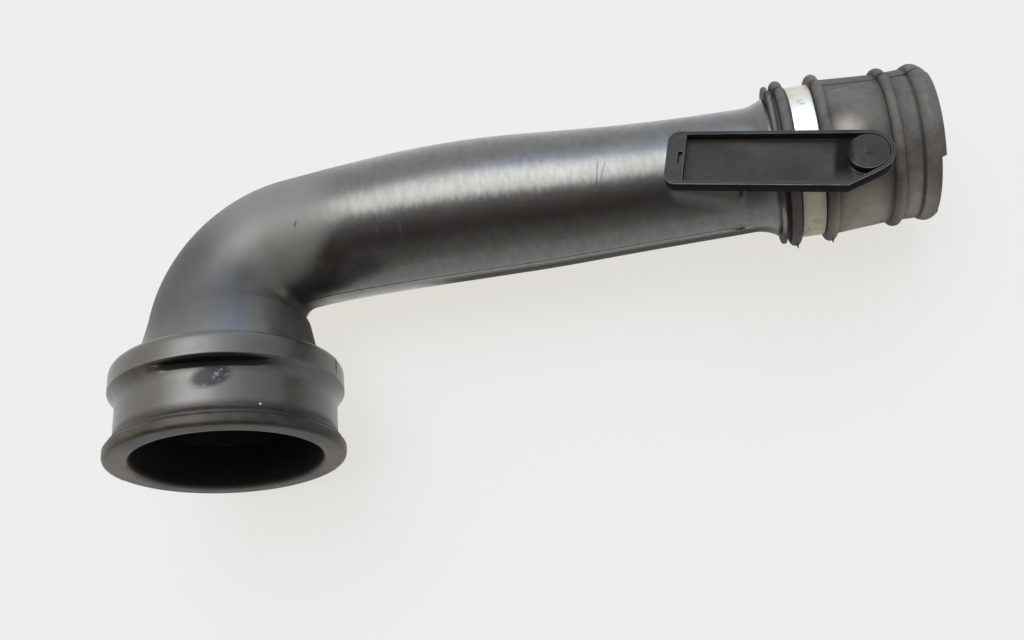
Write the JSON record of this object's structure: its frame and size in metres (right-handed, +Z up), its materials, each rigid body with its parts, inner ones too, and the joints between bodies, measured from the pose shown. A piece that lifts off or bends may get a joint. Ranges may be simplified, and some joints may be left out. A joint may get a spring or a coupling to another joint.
{
  "type": "charge air hose",
  "caption": "Rigid moulded elbow pipe with a large rubber cuff on the short leg, a ribbed clamped sleeve on the far end and a bracket arm.",
  "frame": {"origin": "middle of the inlet cuff's bore, on its axis", "axes": "+Z up as the hose lies at rest, +X along the long run from the bend to the outlet, +Y to the elbow's outer side"},
  "size_m": [0.3714, 0.1424, 0.1076],
  "materials": {
    "pipe_plastic": "semi-gloss black blow-moulded plastic, dusty",
    "cuff_rubber": "satin black rubber, scuffed",
    "sleeve_rubber": "matt dusty brown-grey rubber",
    "band_steel": "bright stained steel",
    "arm_plastic": "matt dark grey plastic"
  },
  "bodies": {
    "root": {"air_pipe": "pipe_plastic", "inlet_cuff": "cuff_rubber", "outlet_cuff": "sleeve_rubber", "ear_clamp": "band_steel", "bracket_arm": "arm_plastic"}
  },
  "joints": []
}
